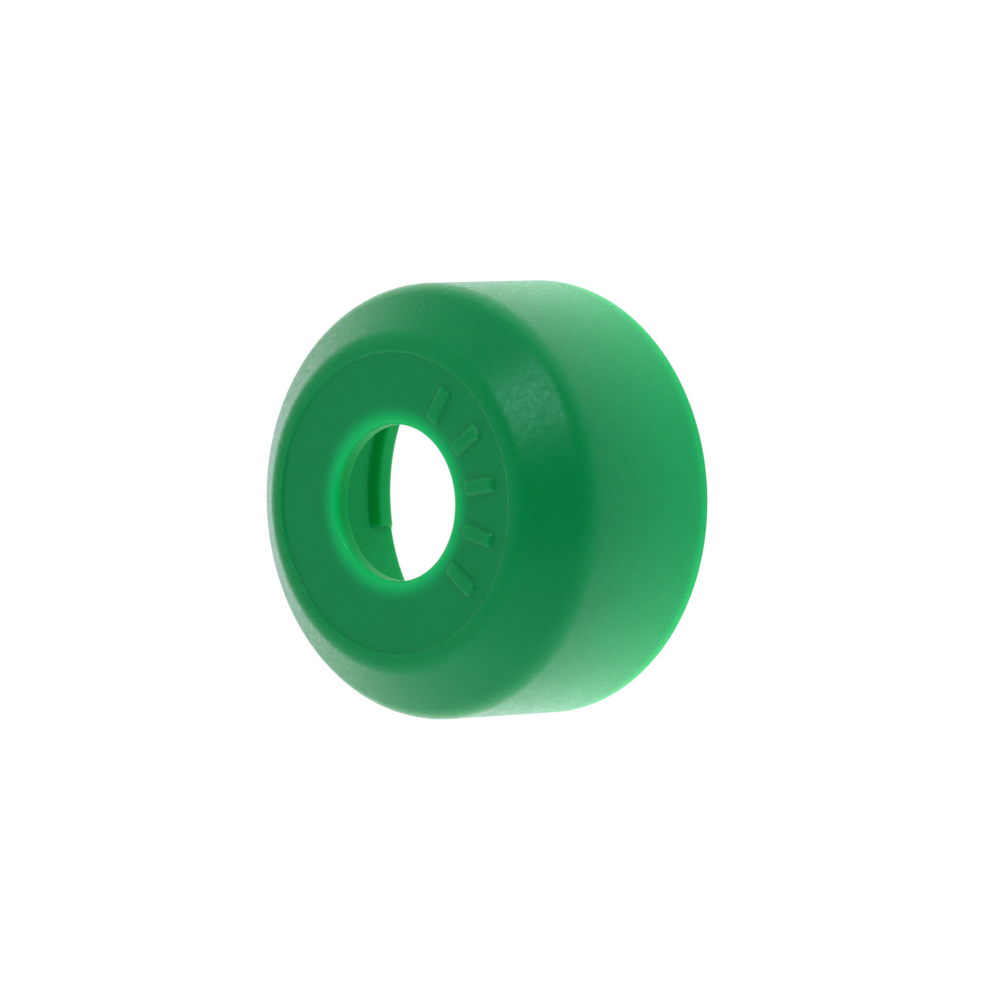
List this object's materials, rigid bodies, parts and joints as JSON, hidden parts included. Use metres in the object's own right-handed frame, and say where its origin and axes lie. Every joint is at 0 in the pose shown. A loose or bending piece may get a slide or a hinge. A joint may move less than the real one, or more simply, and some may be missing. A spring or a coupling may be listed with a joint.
{
  "type": "collet cover",
  "caption": "Round clip-on plastic cover for a push-fit tube fitting: flat chamfered front with a tube hole, plain skirt, open back and inside snap lugs.",
  "frame": {"origin": "centre of the rear rim, on the plane that the cap stands on", "axes": "+Z along the tube hole's axis, out of the front wall; the raised marks are centred on -Y"},
  "size_m": [0.012, 0.012, 0.0062],
  "materials": {
    "cover_plastic": "green acetal, fine spark-eroded mould texture, thin edges glow with light"
  },
  "bodies": {
    "root": {"collet_cover": "cover_plastic"}
  },
  "joints": []
}
